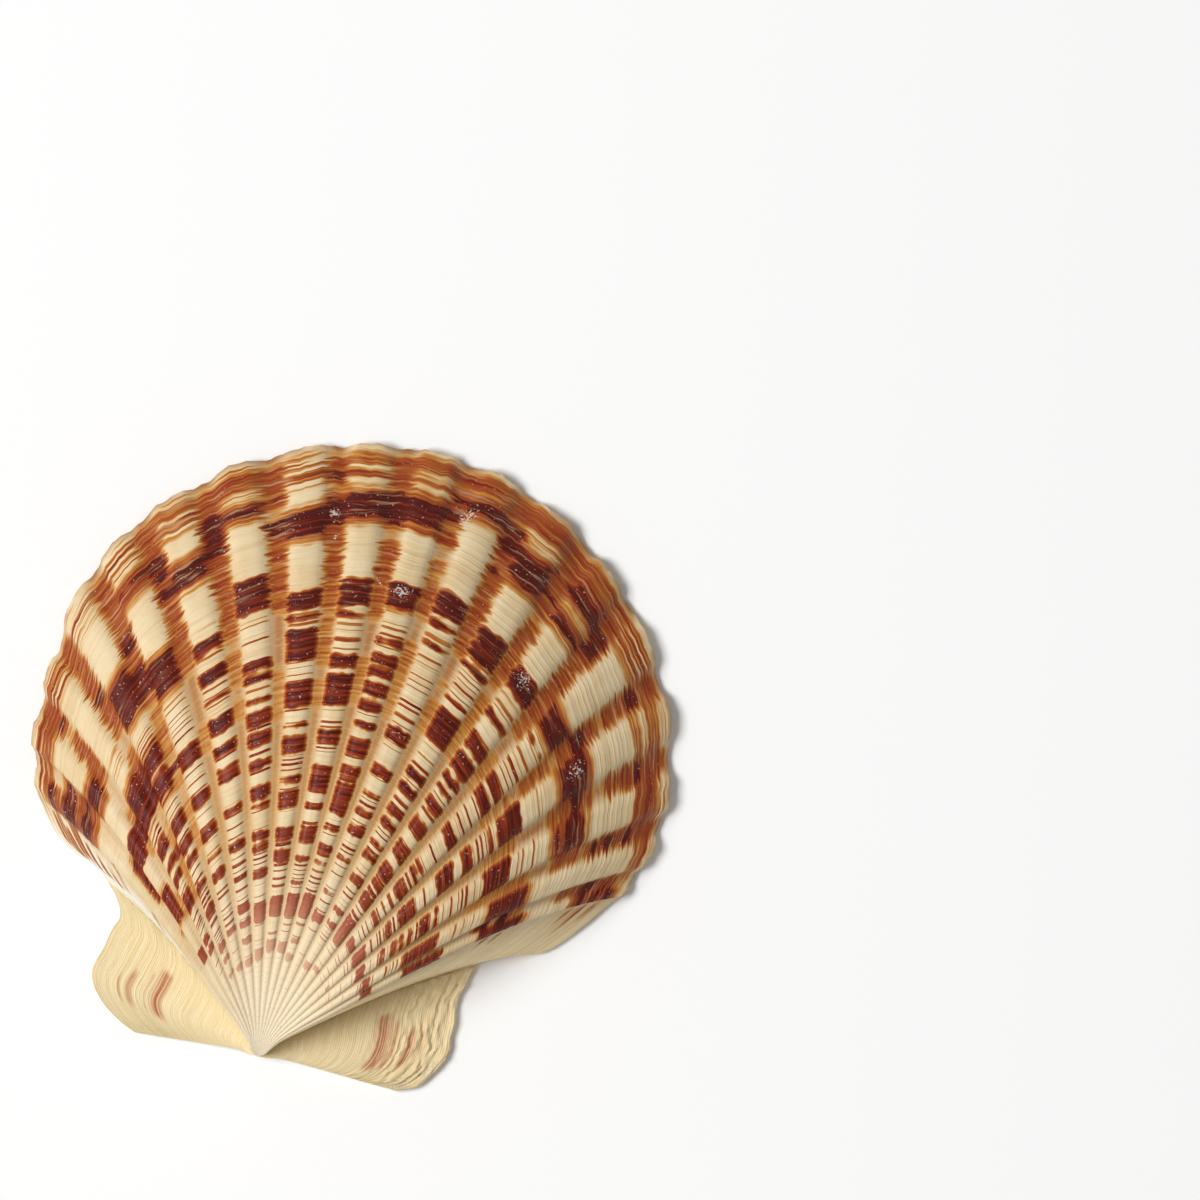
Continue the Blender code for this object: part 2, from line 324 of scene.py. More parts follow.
# Orange-brown in the groove after each rib, and dark marks there.
GROOVE_AMBER = (
    ((37, 40), (48, 64), (76, 90), (94, 96)),
    ((37, 44), (54, 67), (76, 89), (90.4, 99)),
    ((36, 54), (57, 72), (76, 99)),
    ((42, 52), (54, 71), (72, 98)),
    ((56, 61), (71, 98)),
    ((58, 62), (64, 70), (72, 98)),
    ((56, 64), (74, 90), (91.4, 98)),
    ((57, 62), (64, 72), (73, 92.6), (93.4, 98)),
    ((58, 66), (72, 84.6), (86.4, 98)),
    ((57, 70), (74, 80.6), (82, 83.6), (86, 99)),
    ((58, 64), (66, 67), (72, 99)),
    ((58, 70), (72, 84.4), (85.6, 99)),
    ((58, 66), (70, 99)),
    ((58, 65), (67, 75), (76, 86), (87, 99)),
    ((57, 66), (73, 83), (85.6, 99)),
    ((54, 70), (75, 82), (82.4, 99)),
    ((40, 50), (58.6, 72), (81, 87), (89, 96)),
    (),
)
GROOVE_DARK = (
    ((49, 62), (79, 82), (85, 89)),
    ((58, 64), (91.4, 93.6)),
    ((46, 49), (58, 68), (83, 86), (90.6, 91.6)),
    ((58, 60), (74, 80), (82.4, 87)),
    ((84.6, 87), (88, 92.4)),
    ((86.6, 94),),
    ((86, 89.6), (92.4, 93.4)),
    ((86.6, 91.4), (94, 95.4)),
    ((87, 92.8), (94, 94.8)),
    ((90.4, 92.6), (93.4, 95)),
    ((86, 87.4), (90, 94.6)),
    ((88.4, 90), (92.4, 93.6)),
    ((88.4, 93.6),),
    ((80, 84), (92, 95)),
    ((78, 81), (91.6, 93.6)),
    ((84, 86), (87, 90), (91.4, 94)),
    ((60, 64), (66, 69), (87, 91), (92.6, 94)),
    (),
)
MARK_REACH = 1.6

# Streaks on the ears: growth, half width in growth, from and to in count, and strength.
EAR_STREAKS = (
    (0.635, 0.034, -2.33, -1.82, 1.0),
    (0.700, 0.008, -2.30, -1.90, 0.7),
    (0.790, 0.020, -2.30, -1.98, 0.7),
    (0.850, 0.008, -2.28, -2.05, 0.5),
    (0.640, 0.036, 18.76, 19.38, 1.0),
    (0.705, 0.012, 18.85, 19.36, 0.8),
    (0.790, 0.024, 18.92, 19.32, 0.9),
    (0.850, 0.010, 18.95, 19.20, 0.6),
)
# Thin reddish streaks that follow growth on the smooth flanks: growth, from, to in count, strength.
FLANK_STREAKS = (
    (0.530, -0.95, -0.30, 0.6),
    (0.690, -0.85, -0.10, 0.7),
    (0.745, -1.00, -0.60, 0.8),
    (0.790, -1.00, -0.60, 0.9),
    (0.835, -1.05, -0.50, 0.9),
    (0.865, -0.90, -0.30, 0.9),
    (0.885, -0.90, -0.30, 0.8),
    (0.915, -1.00, -0.50, 0.8),
    (0.935, -0.95, -0.30, 0.9),
    (0.955, -0.90, -0.40, 0.7),
    (0.885, 17.40, 17.62, 0.6),
    (0.915, 17.40, 17.66, 0.7),
    (0.950, 17.40, 17.64, 0.7),
    (0.660, 17.40, 17.60, 0.6),
    (0.700, 17.40, 17.60, 0.6),
)
FLANK_STREAK_HALF = 0.009
# How gradually a streak ends, in steps of the count, and how full its middle is.
EAR_STREAK_EASE = 0.06
FLANK_STREAK_EASE = 0.08
STREAK_CORE = 1.4
# Where the surface is worn white: count, growth, half sizes of the spot in count and in growth.
WORN_SPOTS = (
    (8.98, 0.772, 0.26, 0.014),
    (8.45, 0.782, 0.10, 0.008),
    (11.95, 0.770, 0.22, 0.020),
    (9.72, 0.918, 0.16, 0.020),
    (7.45, 0.888, 0.14, 0.012),
    (7.50, 0.852, 0.10, 0.006),
    (13.9, 0.795, 0.18, 0.020),
    (19.42, 0.930, 0.13, 0.100),
    (19.30, 0.970, 0.10, 0.050),
)

# The camera looks straight down on the shell from high above. The picture's middle lies this far from
# the beak, in mm, and the shell is turned on it.
VIEW_CENTRE_FROM_BEAK = (21.669, 47.609)
VIEW_TURN_DEG = 12.6
VIEW_WIDTH_MM = 110.80
CAMERA_HEIGHT = 3.0
SENSOR_MM = 36.0
# The key light's direction, in the picture's own left and up, and its distance in metres.
KEY_LEFT = 0.55
KEY_UP = 0.04
KEY_RISE = 0.84
KEY_DISTANCE = 1.6


def linear(hex_colour):
    """An sRGB hex colour as linear RGBA."""
    channels = [int(hex_colour[i:i + 2], 16) / 255 for i in (0, 2, 4)]
    return tuple(c / 12.92 if c <= 0.04045 else ((c + 0.055) / 1.055) ** 2.4 for c in channels) + (1.0,)


def colour_setting(name, description, hex_colour):
    """A colour for the panel, given as sRGB hex."""
    return bpy.props.FloatVectorProperty(
        name=name, description=description, default=linear(hex_colour), subtype="COLOR", size=4
    )


class ShellProperties(bpy.types.PropertyGroup):
    """Sizes and colours of the shell."""

    rib_relief: bpy.props.FloatProperty(
        name="Rib relief", description="Height of a rib as a share of its pitch", default=0.27
    )
    rib_relief_most: bpy.props.FloatProperty(
        name="Most relief", description="Height that the ribs never pass, in mm", default=1.15
    )
    rib_squareness: bpy.props.FloatProperty(
        name="Squareness", description="How flat the tops of the ribs are", default=1.7
    )
    rib_widening: bpy.props.FloatProperty(
        name="Widening", description="How much wider the ribs are than the grooves", default=0.25
    )
    rest_depth: bpy.props.FloatProperty(
        name="Growth rests", description="Depth of the steps where growth paused, in mm", default=0.09
    )
    rest_spacing: bpy.props.FloatProperty(
        name="Rest spacing", description="Distance between growth rests, in mm", default=2.4
    )
    ear_ripple: bpy.props.FloatProperty(
        name="Ear ripples", description="Height of the growth ridges on the ears, in mm", default=0.12
    )
    seed: bpy.props.IntProperty(name="Seed", description="Fixed seed of all that varies", default=7)
    cream: colour_setting("Cream", "Ground colour of the ribs", "E1CDA8")
    cream_shade: colour_setting("Cream shade", "Clouds in the cream", "D8BE92")
    # The groove tans are partly the grooves' own colour and partly painted shade between the ribs.
    tan: colour_setting("Tan", "Grooves of the early growth", "B8853F")
    tan_deep_and_groove_shade: colour_setting("Deep tan", "Grooves of the late growth", "A66628")
    beak_white: colour_setting("Beak white", "Worn colour near the beak", "F6E6C8")
    # Partly the left flank's own white, partly painted light on its steep wall.
    flank_white_and_painted_light: colour_setting("Flank white", "Smooth flank left of the ribs", "FFFAEA")
    # Painted light: a light warm tone that stands for light on the right flank's steep wall.
    flank_painted_warm_light: colour_setting("Flank warm", "Smooth flank right of the ribs", "F2DBAC")
    ochre: colour_setting("Ochre", "Outermost fringe of the marks", "C38840")
    amber: colour_setting("Amber", "Orange-brown of bands and rims of marks", "A25520")
    russet: colour_setting("Russet", "Red-brown of the marks", "8A2E14")
    maroon: colour_setting("Maroon", "Darkest colour of the marks", "50120A")
    ear: colour_setting("Ear", "Translucent yellowish cream of the ears", "E0C998")
    ear_light: colour_setting("Ear lines", "Pale growth lines of the ears", "EAD9B2")
    ear_streak: colour_setting("Ear streaks", "Reddish streaks on the ears", "AE5A34")
    inner_white: colour_setting("Inner white", "Middle of the inside", "F3ECE0")
    inner_cream: colour_setting("Inner cream", "Inside near the edge", "E8D6A6")
    hinge_yellow: colour_setting("Hinge yellow", "Hinge plate under the beak", "E5B765")


class StageProperties(bpy.types.PropertyGroup):
    """Floor, lights and camera."""

    floor_size: bpy.props.FloatProperty(
        name="Floor size", description="Side of the floor", default=6.0, subtype="DISTANCE"
    )
    floor_white: colour_setting("Floor", "Colour of the floor", "F4F5F7")
    key_power: bpy.props.FloatProperty(
        name="Key light", description="Power of the soft light", default=23.8, unit="POWER"
    )
    key_size: bpy.props.FloatProperty(
        name="Key size", description="Side of the soft light", default=0.7, subtype="DISTANCE"
    )
    sky: bpy.props.FloatProperty(
        name="Sky", description="Strength of the light from all around", default=0.34
    )


def ray_values(count):
    """Heading at the beak, heading at the edge (both in radians) and length of the rays."""
    knots = RAYS[:, 0]
    i = np.clip(np.searchsorted(knots, count, side="right") - 1, 0, len(knots) - 2)
    step = knots[i + 1] - knots[i]
    t = (count - knots[i]) / step
    values = []
    for column in RAYS[:, 1:].T:
        slope = np.gradient(column, knots)
        values.append(
            column[i] * (2 * t**3 - 3 * t**2 + 1)
            + column[i + 1] * (3 * t**2 - 2 * t**3)
            + slope[i] * step * (t**3 - 2 * t**2 + t)
            + slope[i + 1] * step * (t**3 - t**2)
        )
    return np.radians(values[0]), np.radians(values[1]), values[2]


def plan(count, growth):
    """Where a ray is, seen from above, at a share of its growth from beak (0) to edge (1)."""
    start, end, length = ray_values(count)
    heading = start + (end - start) * growth**RAY_BEND
    return growth * length * np.sin(heading), growth * length * np.cos(heading)


def smooth_outside(count, growth):
    """The outside without its ribs, as an array of points."""
    x, y = plan(count, growth)
    across = np.abs(count - MIDDLE) / HALF_COUNT
    crown = 1 - CROWN_DROP * across**2
    flank = np.sqrt(np.clip(1 - across**FLANK_POWER, 0, 1))
    along = growth**DOME_START_POWER * (1 - growth**DOME_END_POWER)
    peak = (DOME_START_POWER / (DOME_START_POWER + DOME_END_POWER)) ** (1 / DOME_END_POWER)
    along_most = peak**DOME_START_POWER * (1 - peak**DOME_END_POWER)
    dome = np.where(across < 1, DOME_RISE * crown * flank * along / along_most, 0)
    ear_share = np.clip((across - 1) * HALF_COUNT, 0, 1)
    ear = EAR_BULGE * np.sin(np.pi * ear_share) * np.sin(np.pi * growth)
    base = RIM_HEIGHT + (BEAK_HEIGHT - RIM_HEIGHT) * (1 - growth)
    return np.stack([x, y, base + dome + ear], axis=-1)


def in_ribs(count):
    """1 among the ribs, falling smoothly to 0 at the flanks."""
    return np.clip(np.minimum(count - FIRST_GROOVE, LAST_GROOVE - count), 0, 1)


def rise_and_pitch(count, growth):
    """Directions that the ribs rise in, and the distance there from rib to rib."""
    step = FINITE_STEP
    inward = np.minimum(growth, 1 - step)
    by_count = smooth_outside(count + step, growth) - smooth_outside(count - step, growth)
    by_growth = smooth_outside(count, inward + step) - smooth_outside(count, inward - step)
    normal = np.cross(by_count, by_growth)
    normal /= np.linalg.norm(normal, axis=-1, keepdims=True)
    outward = by_growth / np.linalg.norm(by_growth, axis=-1, keepdims=True)
    late = np.clip((growth - CREST_LAG_FROM) / (CREST_LAG_TO - CREST_LAG_FROM), 0, 1)
    rise = normal - CREST_LAG * (late * in_ribs(count))[..., None] * outward
    return rise, np.linalg.norm(by_count, axis=-1) / (2 * step)


def ceiling(x, y, wall):
    """Height of a surface that lies a wall's thickness inside the smooth outside."""
    counts = np.linspace(RAYS[0, 0], RAYS[-1, 0], CEILING_COLUMNS)
    growths = np.linspace(NEAREST_BEAK, 1, CEILING_ROWS)
    outside = smooth_outside(*np.meshgrid(counts, growths)).reshape(-1, 3)
    height = np.empty(x.shape)
    for i in np.ndindex(x.shape):
        off_axis = (outside[:, 0] - x[i]) ** 2 + (outside[:, 1] - y[i]) ** 2
        near = off_axis < wall[i] ** 2
        height[i] = np.min(outside[near, 2] - np.sqrt(wall[i] ** 2 - off_axis[near]))
    return np.maximum(height, 0)


def suture_gap(x, y):
    """Distance from a point under the dome to the nearer of the two lines where the ears begin."""
    reach = np.hypot(x, y)
    gaps = []
    for suture, side in ((LEFT_SUTURE, 1), (RIGHT_SUTURE, -1)):
        start, end, length = ray_values(np.array(suture))
        heading = start + (end - start) * np.minimum(reach / length, 1) ** RAY_BEND
        beyond = np.maximum(reach - length, 0)
        gaps.append(side * (x * np.cos(heading) - y * np.sin(heading)) + beyond)
    return np.minimum(*gaps)


def inside(counts):
    """Growth, points and relief share of the inside, from under the beak to the edge."""
    start, end, length = ray_values(counts)
    reach = 1 - RIM_INSET / length
    toward = np.maximum(np.cos(start), NEARLY_ZERO)
    plate = np.minimum(PLATE_DEPTH / toward / length, PLATE_SHARE_MOST)
    plate_shares = np.linspace(0, 1, PLATE_ROWS + 1)[1:]
    cavity = np.linspace(0, 1, CAVITY_ROWS + 1)[1:] ** CAVITY_ROW_POWER
    shares = [plate * share for share in plate_shares]
    shares += [plate + (1 - plate) * share for share in cavity]
    growth = np.array(shares) * reach
    count = np.broadcast_to(counts, growth.shape)
    x, y = plan(count, growth)
    wall = BEAK_WALL + (RIM_WALL - BEAK_WALL) * growth
    z = ceiling(x, y, wall)
    leaning = FLANK_WALL_SLOPE * np.maximum(suture_gap(x, y) - FLANK_WALL, 0)
    corner = (z**FLANK_WALL_CORNER + leaning**FLANK_WALL_CORNER) ** (1 / FLANK_WALL_CORNER)
    under_dome = (count > LEFT_SUTURE) & (count < RIGHT_SUTURE) & (corner > 0)
    z = np.where(under_dome, z * leaning / np.maximum(corner, NEARLY_ZERO), z)
    z *= np.clip((y - PLATE_DEPTH) / PLATE_EASE, 0, 1)
    z[-1] = 0
    fade = np.clip((growth - INNER_RELIEF_FROM) / (1 - INNER_RELIEF_FROM), 0, 1)
    angle_in = np.degrees(np.abs(start))
    pit_side = np.clip((PIT_HALF_ANGLE - angle_in) / PIT_EDGE_ANGLE, 0, 1)
    pit_front = np.clip((PIT_LIP - plate_shares) / (PIT_LIP - PIT_LEVEL), 0, 1)
    z[:PLATE_ROWS] += PIT_RISE * pit_front[:, None] * pit_side
    return growth, np.stack([x, y, z], axis=-1), INNER_RELIEF_SHARE * fade


def column_counts():
    """The counts of all columns, from the left ear's hinge end to the right ear's."""
    left = np.linspace(RAYS[0, 0], LEFT_SUTURE, EAR_COLUMNS + 1)[:-1]
    eased = np.sin(np.linspace(0, 1, FLANK_COLUMNS + 1) * np.pi / 2)
    left_flank = FIRST_GROOVE - (FIRST_GROOVE - LEFT_SUTURE) * eased[::-1]
    ribs = [rib[0] + step for rib in RIBS for step in RIB_STEPS]
    right_flank = LAST_GROOVE + (RIGHT_SUTURE - LAST_GROOVE) * eased
    right = np.linspace(RIGHT_SUTURE, RAYS[-1, 0], EAR_COLUMNS + 1)[1:]
    return np.concatenate([left, left_flank[:-1], ribs, right_flank, right])


def rib_wave(count, look):
    """1 on a rib's crest and 0 in a groove, on the flanks and on the ears."""
    squared = np.tanh(look.rib_squareness * (np.cos(2 * np.pi * count) + look.rib_widening))
    low = np.tanh(look.rib_squareness * (look.rib_widening - 1))
    high = np.tanh(look.rib_squareness * (look.rib_widening + 1))
    ribbed = (count > FIRST_GROOVE) & (count < LAST_GROOVE)
    return np.where(ribbed, (squared - low) / (high - low), 0)


def growth_line(count, growth):
    """The share of growth whose line passes here: the lines bow and waver across the ribs."""
    bow = LINE_BOW * growth * np.sin(np.pi * count) ** 2 * in_ribs(count)
    waver = np.sin(1.9 * count + 9 * growth) + np.sin(4.3 * count - 23 * growth + 1)
    return growth - bow + LINE_WAVER * growth**2 * waver


def span_depth(spans, growth, length):
    """How deep a point lies inside the nearest of some spans of growth, in mm; negative outside."""
    depth = np.full(growth.shape, -MARK_REACH)
    for low, high in spans:
        inside_by = np.minimum(growth - low / 100, high / 100 - growth) * length
        depth = np.maximum(depth, inside_by)
    return np.minimum(depth, MARK_REACH)


def marking_attributes(count, growth):
    """The fields that the markings are drawn from, as arrays by name."""
    length = ray_values(count)[2]
    growth = growth_line(count, growth)
    nearest_crest = np.clip(np.floor(count + 0.5), 0, len(RIBS) - 1)
    before = np.floor(count)
    fields = {"age": growth * LONGEST_RAY, "crest_gap": np.abs(count - nearest_crest)}
    for name, table, rib_here in (
        ("crest_dark", CREST_DARK, nearest_crest),
        ("crest_amber", CREST_AMBER, nearest_crest),
        ("groove_dark", GROOVE_DARK, before),
        ("groove_amber", GROOVE_AMBER, before),
    ):
        fields[name] = np.full(count.shape, -MARK_REACH)
        for rib, spans in enumerate(table):
            here = rib_here == rib
            fields[name][here] = span_depth(spans, growth[here], length[here])
    streaks = [(EAR_STREAK_EASE, *row) for row in EAR_STREAKS]
    streaks += [(FLANK_STREAK_EASE, at, FLANK_STREAK_HALF, *row) for at, *row in FLANK_STREAKS]
    streak = np.zeros(count.shape)
    for ease, at, half, low, high, strength in streaks:
        along = np.clip(np.minimum(count - low, high - count) / ease, 0, 1)
        near = np.clip(STREAK_CORE - np.abs(growth - at) / half, 0, 1)
        streak = np.maximum(streak, strength * along * near)
    worn = np.full(count.shape, -1.0)
    for at_count, at_growth, half_count, half_growth in WORN_SPOTS:
        away = np.hypot((count - at_count) / half_count, (growth - at_growth) / half_growth)
        worn = np.maximum(worn, 1 - away)
    return {**fields, "streak": streak, "worn": worn}


def edge_wander(count, seed):
    """Small irregular shifts of the free edge along each ray, in mm."""
    rng = np.random.default_rng(seed)
    wander = np.zeros(count.shape)
    for frequency, size in EDGE_WAVES:
        wander += size * np.sin(frequency * count + rng.uniform(0, 2 * np.pi))
    return wander


def hull_points(counts, look):
    """The ribbed outside, whole, for the box that the shell is centred by."""
    growth = np.linspace(HULL_FROM, 1, HULL_ROWS)
    count, growth = np.meshgrid(counts, growth)
    normal, pitch = rise_and_pitch(count, growth)
    rise = 1 - np.exp(-look.rib_relief * pitch / look.rib_relief_most)
    lift = look.rib_relief_most * rise * rib_wave(count, look)
    return (smooth_outside(count, growth) + normal * lift[..., None]).reshape(-1, 3)


def shell_origin(counts, look):
    """Middle of the footprint, as the solid has it, in mm from the beak."""
    points = np.concatenate([hull_points(counts, look), [[0.0, 0.0, BEAK_HEIGHT]]])
    middle = (points.min(axis=0) + points.max(axis=0)) / 2
    return np.array([middle[0], middle[1], 0.0])


def smooth_valve_mesh(name, look):
    """The closed valve before its ribs rise, with the attributes that the nodes and material read."""
    counts = column_counts()
    columns = len(counts)
    rows = (np.arange(1, OUTER_ROWS + 1) / OUTER_ROWS) ** OUTER_ROW_POWER
    count, growth = np.meshgrid(counts, rows)
    outer = smooth_outside(count, growth)
    normal, pitch = rise_and_pitch(count, growth)
    start, end, length = ray_values(count)
    wander = (edge_wander(count, look.seed) + EDGE_GAIN * in_ribs(count)) * growth**6
    outer[..., 0] += wander * np.sin(end)
    outer[..., 1] += wander * np.cos(end)
    near_beak = np.exp(-((growth * length / BEAK_LEAN_REACH) ** 2))
    spread = BEAK_SPREAD * near_beak * np.clip(growth * length / BEAK_SPREAD, 0, 1) ** 0.5
    outer[..., 0] += spread * np.sin(start)
    outer[..., 1] -= BEAK_LEAN * near_beak

    inner_growth, inner, inner_share = inside(counts)
    inner_count = np.broadcast_to(counts, inner_growth.shape)
    inner_pitch = rise_and_pitch(inner_count, inner_growth)[1]

    origin = shell_origin(counts, look)
    beak = np.array([[0.0, -BEAK_LEAN, BEAK_HEIGHT], [0.0, 0.0, 0.0]])
    points = np.concatenate([outer.reshape(-1, 3), inner.reshape(-1, 3), beak]) - origin

    faces = []
    first_inner = outer.shape[0] * columns
    tip = first_inner + inner.shape[0] * columns
    under_tip = tip + 1
    last_outer = first_inner - columns
    last_inner = tip - columns
    across = np.arange(columns - 1)
    for row in range(outer.shape[0] - 1):
        a = row * columns + across
        faces += np.stack([a, a + 1, a + 1 + columns, a + columns], axis=1).tolist()
    for row in range(inner.shape[0] - 1):
        a = first_inner + row * columns + across
        faces += np.stack([a, a + columns, a + 1 + columns, a + 1], axis=1).tolist()
    faces += np.stack([np.full(columns - 1, tip), across + 1, across], axis=1).tolist()
    a = first_inner + across
    faces += np.stack([np.full(columns - 1, under_tip), a, a + 1], axis=1).tolist()
    edge = last_outer + across
    under = last_inner + across
    faces += np.stack([edge, edge + 1, under + 1, under], axis=1).tolist()
    for column, flip in ((0, False), (columns - 1, True)):
        faces += hinge_strip(column, columns, rows, inner_growth[:, column], first_inner, tip, flip)

    mesh = bpy.data.meshes.new(name)
    mesh.from_pydata((points * MM).tolist(), [], faces)

    outer_marks = marking_attributes(count, growth)
    inner_marks = marking_attributes(inner_count, inner_growth)
    ribbed_share = np.where((count > FIRST_GROOVE) & (count < LAST_GROOVE), 1.0, 0.0)
    inner_ribbed = (inner_count > FIRST_GROOVE) & (inner_count < LAST_GROOVE)
    fields = {
        "rib_count": (count, inner_count, (MIDDLE, MIDDLE)),
        "growth": (growth, inner_growth, (0.0, 0.0)),
        "rib_pitch": (pitch, inner_pitch, (0.0, 0.0)),
        "rib_share": (ribbed_share, inner_share * inner_ribbed, (0.0, 0.0)),
        "under": (np.zeros(count.shape), np.ones(inner_growth.shape), (0.0, 1.0)),
    }
    for key, values in outer_marks.items():
        at_tips = (values[0].mean(), inner_marks[key][0].mean())
        fields[key] = (values, inner_marks[key], at_tips)
    for key, (on_outer, on_inner, on_tips) in fields.items():
        values = np.concatenate([on_outer.ravel(), on_inner.ravel(), on_tips]).astype(np.float32)
        mesh.attributes.new(key, "FLOAT", "POINT").data.foreach_set("value", values)
    push_inner = np.zeros(inner.shape)
    push_inner[..., 2] = 1.0
    push = np.concatenate([normal.reshape(-1, 3), push_inner.reshape(-1, 3), [[0, 0, 1], [0, 0, 1]]])
    push = np.nan_to_num(push).astype(np.float32)
    mesh.attributes.new("push", "FLOAT_VECTOR", "POINT").data.foreach_set("vector", push.ravel())
    return mesh


def hinge_strip(column, columns, outer_growth, inner_growth, first_inner, tip, flip):
    """Triangles that close the cut along the hinge between the outside and the inside."""
    upper = [tip] + [row * columns + column for row in range(len(outer_growth))]
    lower = [tip + 1] + [first_inner + row * columns + column for row in range(len(inner_growth))]
    at_upper = np.concatenate([[0.0], outer_growth])
    at_lower = np.concatenate([[0.0], inner_growth / inner_growth[-1]])
    faces = []
    u = 0
    v = 0
    while u < len(upper) - 1 or v < len(lower) - 1:
        step_upper = v == len(lower) - 1 or (u < len(upper) - 1 and at_upper[u + 1] <= at_lower[v + 1])
        if step_upper:
            face = [upper[u], upper[u + 1], lower[v]]
            u += 1
        else:
            face = [upper[u], lower[v + 1], lower[v]]
            v += 1
        faces.append(face[::-1] if flip else face)
    return faces


def add_node(tree, kind, *ordered, output=0, named=None, **settings):
    """Adds a node with its settings, and links or sets its sockets, given in order or by name.

    The kind is a node's type or, in capitals, what a Math node works out. Returns one of its
    outputs, or the node itself where it has none."""
    if kind.isupper():
        kind, settings = "ShaderNodeMath", {"operation": kind}
    node = tree.nodes.new(kind)
    for setting, value in settings.items():
        setattr(node, setting, value)
    for socket, value in [*enumerate(ordered), *(named or {}).items()]:
        if isinstance(value, bpy.types.NodeSocket):
            tree.links.new(value, node.inputs[socket])
        else:
            node.inputs[socket].default_value = value
    return node.outputs[output] if node.outputs else node


def relief_tree(materials):
    """Raises ribs, growth rests and ear ripples on the smooth valve, and sets its two materials."""
    tree = bpy.data.node_groups.new("Valve relief", "GeometryNodeTree")
    add = partial(add_node, tree)
    face = tree.interface
    face.new_socket("Geometry", in_out="INPUT", socket_type="NodeSocketGeometry")
    for name, setting in RELIEF_INPUTS:
        kind = "NodeSocketInt" if setting == "seed" else "NodeSocketFloat"
        face.new_socket(name, in_out="INPUT", socket_type=kind)
    face.new_socket("Geometry", in_out="OUTPUT", socket_type="NodeSocketGeometry")
    given = add("NodeGroupInput").node.outputs
    count, growth, pitch, share, under = (
        add(NAMED, name, data_type="FLOAT")
        for name in ("rib_count", "growth", "rib_pitch", "rib_share", "under")
    )

    # Height of a rib: it grows with the pitch and never passes the most relief.
    by_pitch = add("MULTIPLY", given["Rib relief"], pitch)
    by_pitch = add("DIVIDE", by_pitch, given["Most relief"])
    fall = add("EXPONENT", add("MULTIPLY", by_pitch, -1.0))
    height = add("SUBTRACT", 1.0, fall)
    height = add("MULTIPLY", given["Most relief"], height)
    turn = add("COSINE", add("MULTIPLY", count, 2 * np.pi))
    squared = []
    for level in (turn, -1.0, 1.0):
        widened = add("ADD", given["Widening"], level)
        steep = add("MULTIPLY", given["Squareness"], widened)
        squared.append(add("TANH", steep))
    wave = add(RANGE, *squared)
    height = add("MULTIPLY", height, add(RANGE, growth, 0.02, 0.20, 0.22, 1.0))
    rib = add("MULTIPLY", add("MULTIPLY", height, wave), share)

    # Growth rests: low steps across all ribs, unevenly spaced, stronger towards the edge.
    age = add("MULTIPLY", growth, float(LONGEST_RAY))
    seed = add("MULTIPLY", given["Seed"], SEED_NOISE_STEP)
    drift_at = add(XYZ, add("DIVIDE", age, REST_DRIFT_MM), seed)
    drift = add(NOISE, drift_at, named={"Scale": 1.0, "Detail": 1.0})
    phase = add("DIVIDE", age, given["Rest spacing"])
    phase = add("ADD", phase, add("MULTIPLY", drift, 3.0))
    tooth = add("FRACT", phase)
    step = add("POWER", tooth, 3.0)
    step = add("MULTIPLY", step, given["Rest depth"])
    late = add(RANGE, growth, 0.3, 0.85)
    on_top = add("SUBTRACT", 1.0, under)
    rest = add("MULTIPLY", add("MULTIPLY", step, late), on_top)

    # Ear ripples: growth ridges that turn wavy and scaly towards the free edge, most on the right.
    beyond_left = add("LESS_THAN", count, LEFT_SUTURE - 0.02)
    beyond_right = add("GREATER_THAN", count, RIGHT_SUTURE + 0.02)
    on_ear = add("ADD", beyond_left, beyond_right)
    on_ear = add("MULTIPLY", on_ear, on_top)
    ear_age = add("MULTIPLY", growth, EAR_REACH)
    crinkle_x = add("MULTIPLY", count, EAR_CRINKLES)
    crinkle_y = add("DIVIDE", ear_age, EAR_CRINKLE_MM)
    crinkle = add(NOISE, add(XYZ, crinkle_x, crinkle_y, seed), named={"Scale": 1.0, "Detail": 2.0})
    crinkle = add("MULTIPLY", crinkle, EAR_CRINKLE_DEPTH)
    ear_phase = add("MULTIPLY", ear_age, np.pi / EAR_RIDGE_MM)
    ear_phase = add("ADD", ear_phase, crinkle)
    ridge = add("ABSOLUTE", add("SINE", ear_phase))
    ridge = add("POWER", ridge, 1.5)
    broken = add(NOISE, add(XYZ, crinkle_x, crinkle_y, seed), named={"Scale": 0.8, "Detail": 1.0})
    ridge = add("MULTIPLY", ridge, add(RANGE, broken, 0.35, 0.62, 0.25, 1.25))
    rough = add(RANGE, growth, 0.52, 0.88, 0.06, 1.0)
    rough = add("MULTIPLY", rough, add(RANGE, beyond_right, 0.0, 1.0, 0.5, 2.4))
    ripple = add("MULTIPLY", ridge, rough)
    ripple = add("MULTIPLY", ripple, on_ear)
    ripple = add("MULTIPLY", ripple, given["Ear ripple"])

    lift = add("ADD", rib, add("ADD", rest, ripple))
    lift = add("MULTIPLY", lift, MM)
    push = add(NAMED, "push", data_type="FLOAT_VECTOR")
    offset = add("ShaderNodeVectorMath", push, named={"Scale": lift}, operation="SCALE")
    moved = add("GeometryNodeSetPosition", given["Geometry"], named={"Offset": offset})
    whole = add("GeometryNodeRealizeInstances", moved)
    outside = add("GeometryNodeSetMaterial", whole, named={"Material": materials[0]})
    is_under = add("GREATER_THAN", under, 0.5)
    both = add("GeometryNodeSetMaterial", outside, is_under, materials[1])
    add("NodeGroupOutput", both)
    return tree


def new_material(name):
    """An empty node material, as (material, tree)."""
    material = bpy.data.materials.new(name)
    material.use_nodes = True
    material.node_tree.nodes.clear()
    return material, material.node_tree


def lined_noise(add, count, age, per_rib, along_mm, place, detail=2.0):
    """Noise drawn out along the growth lines: so many cells to a rib, each so long in growth."""
    across = add("MULTIPLY", count, per_rib)
    along = add("DIVIDE", age, along_mm)
    return add(NOISE, add(XYZ, across, along, place), named={"Scale": 1.0, "Detail": detail})


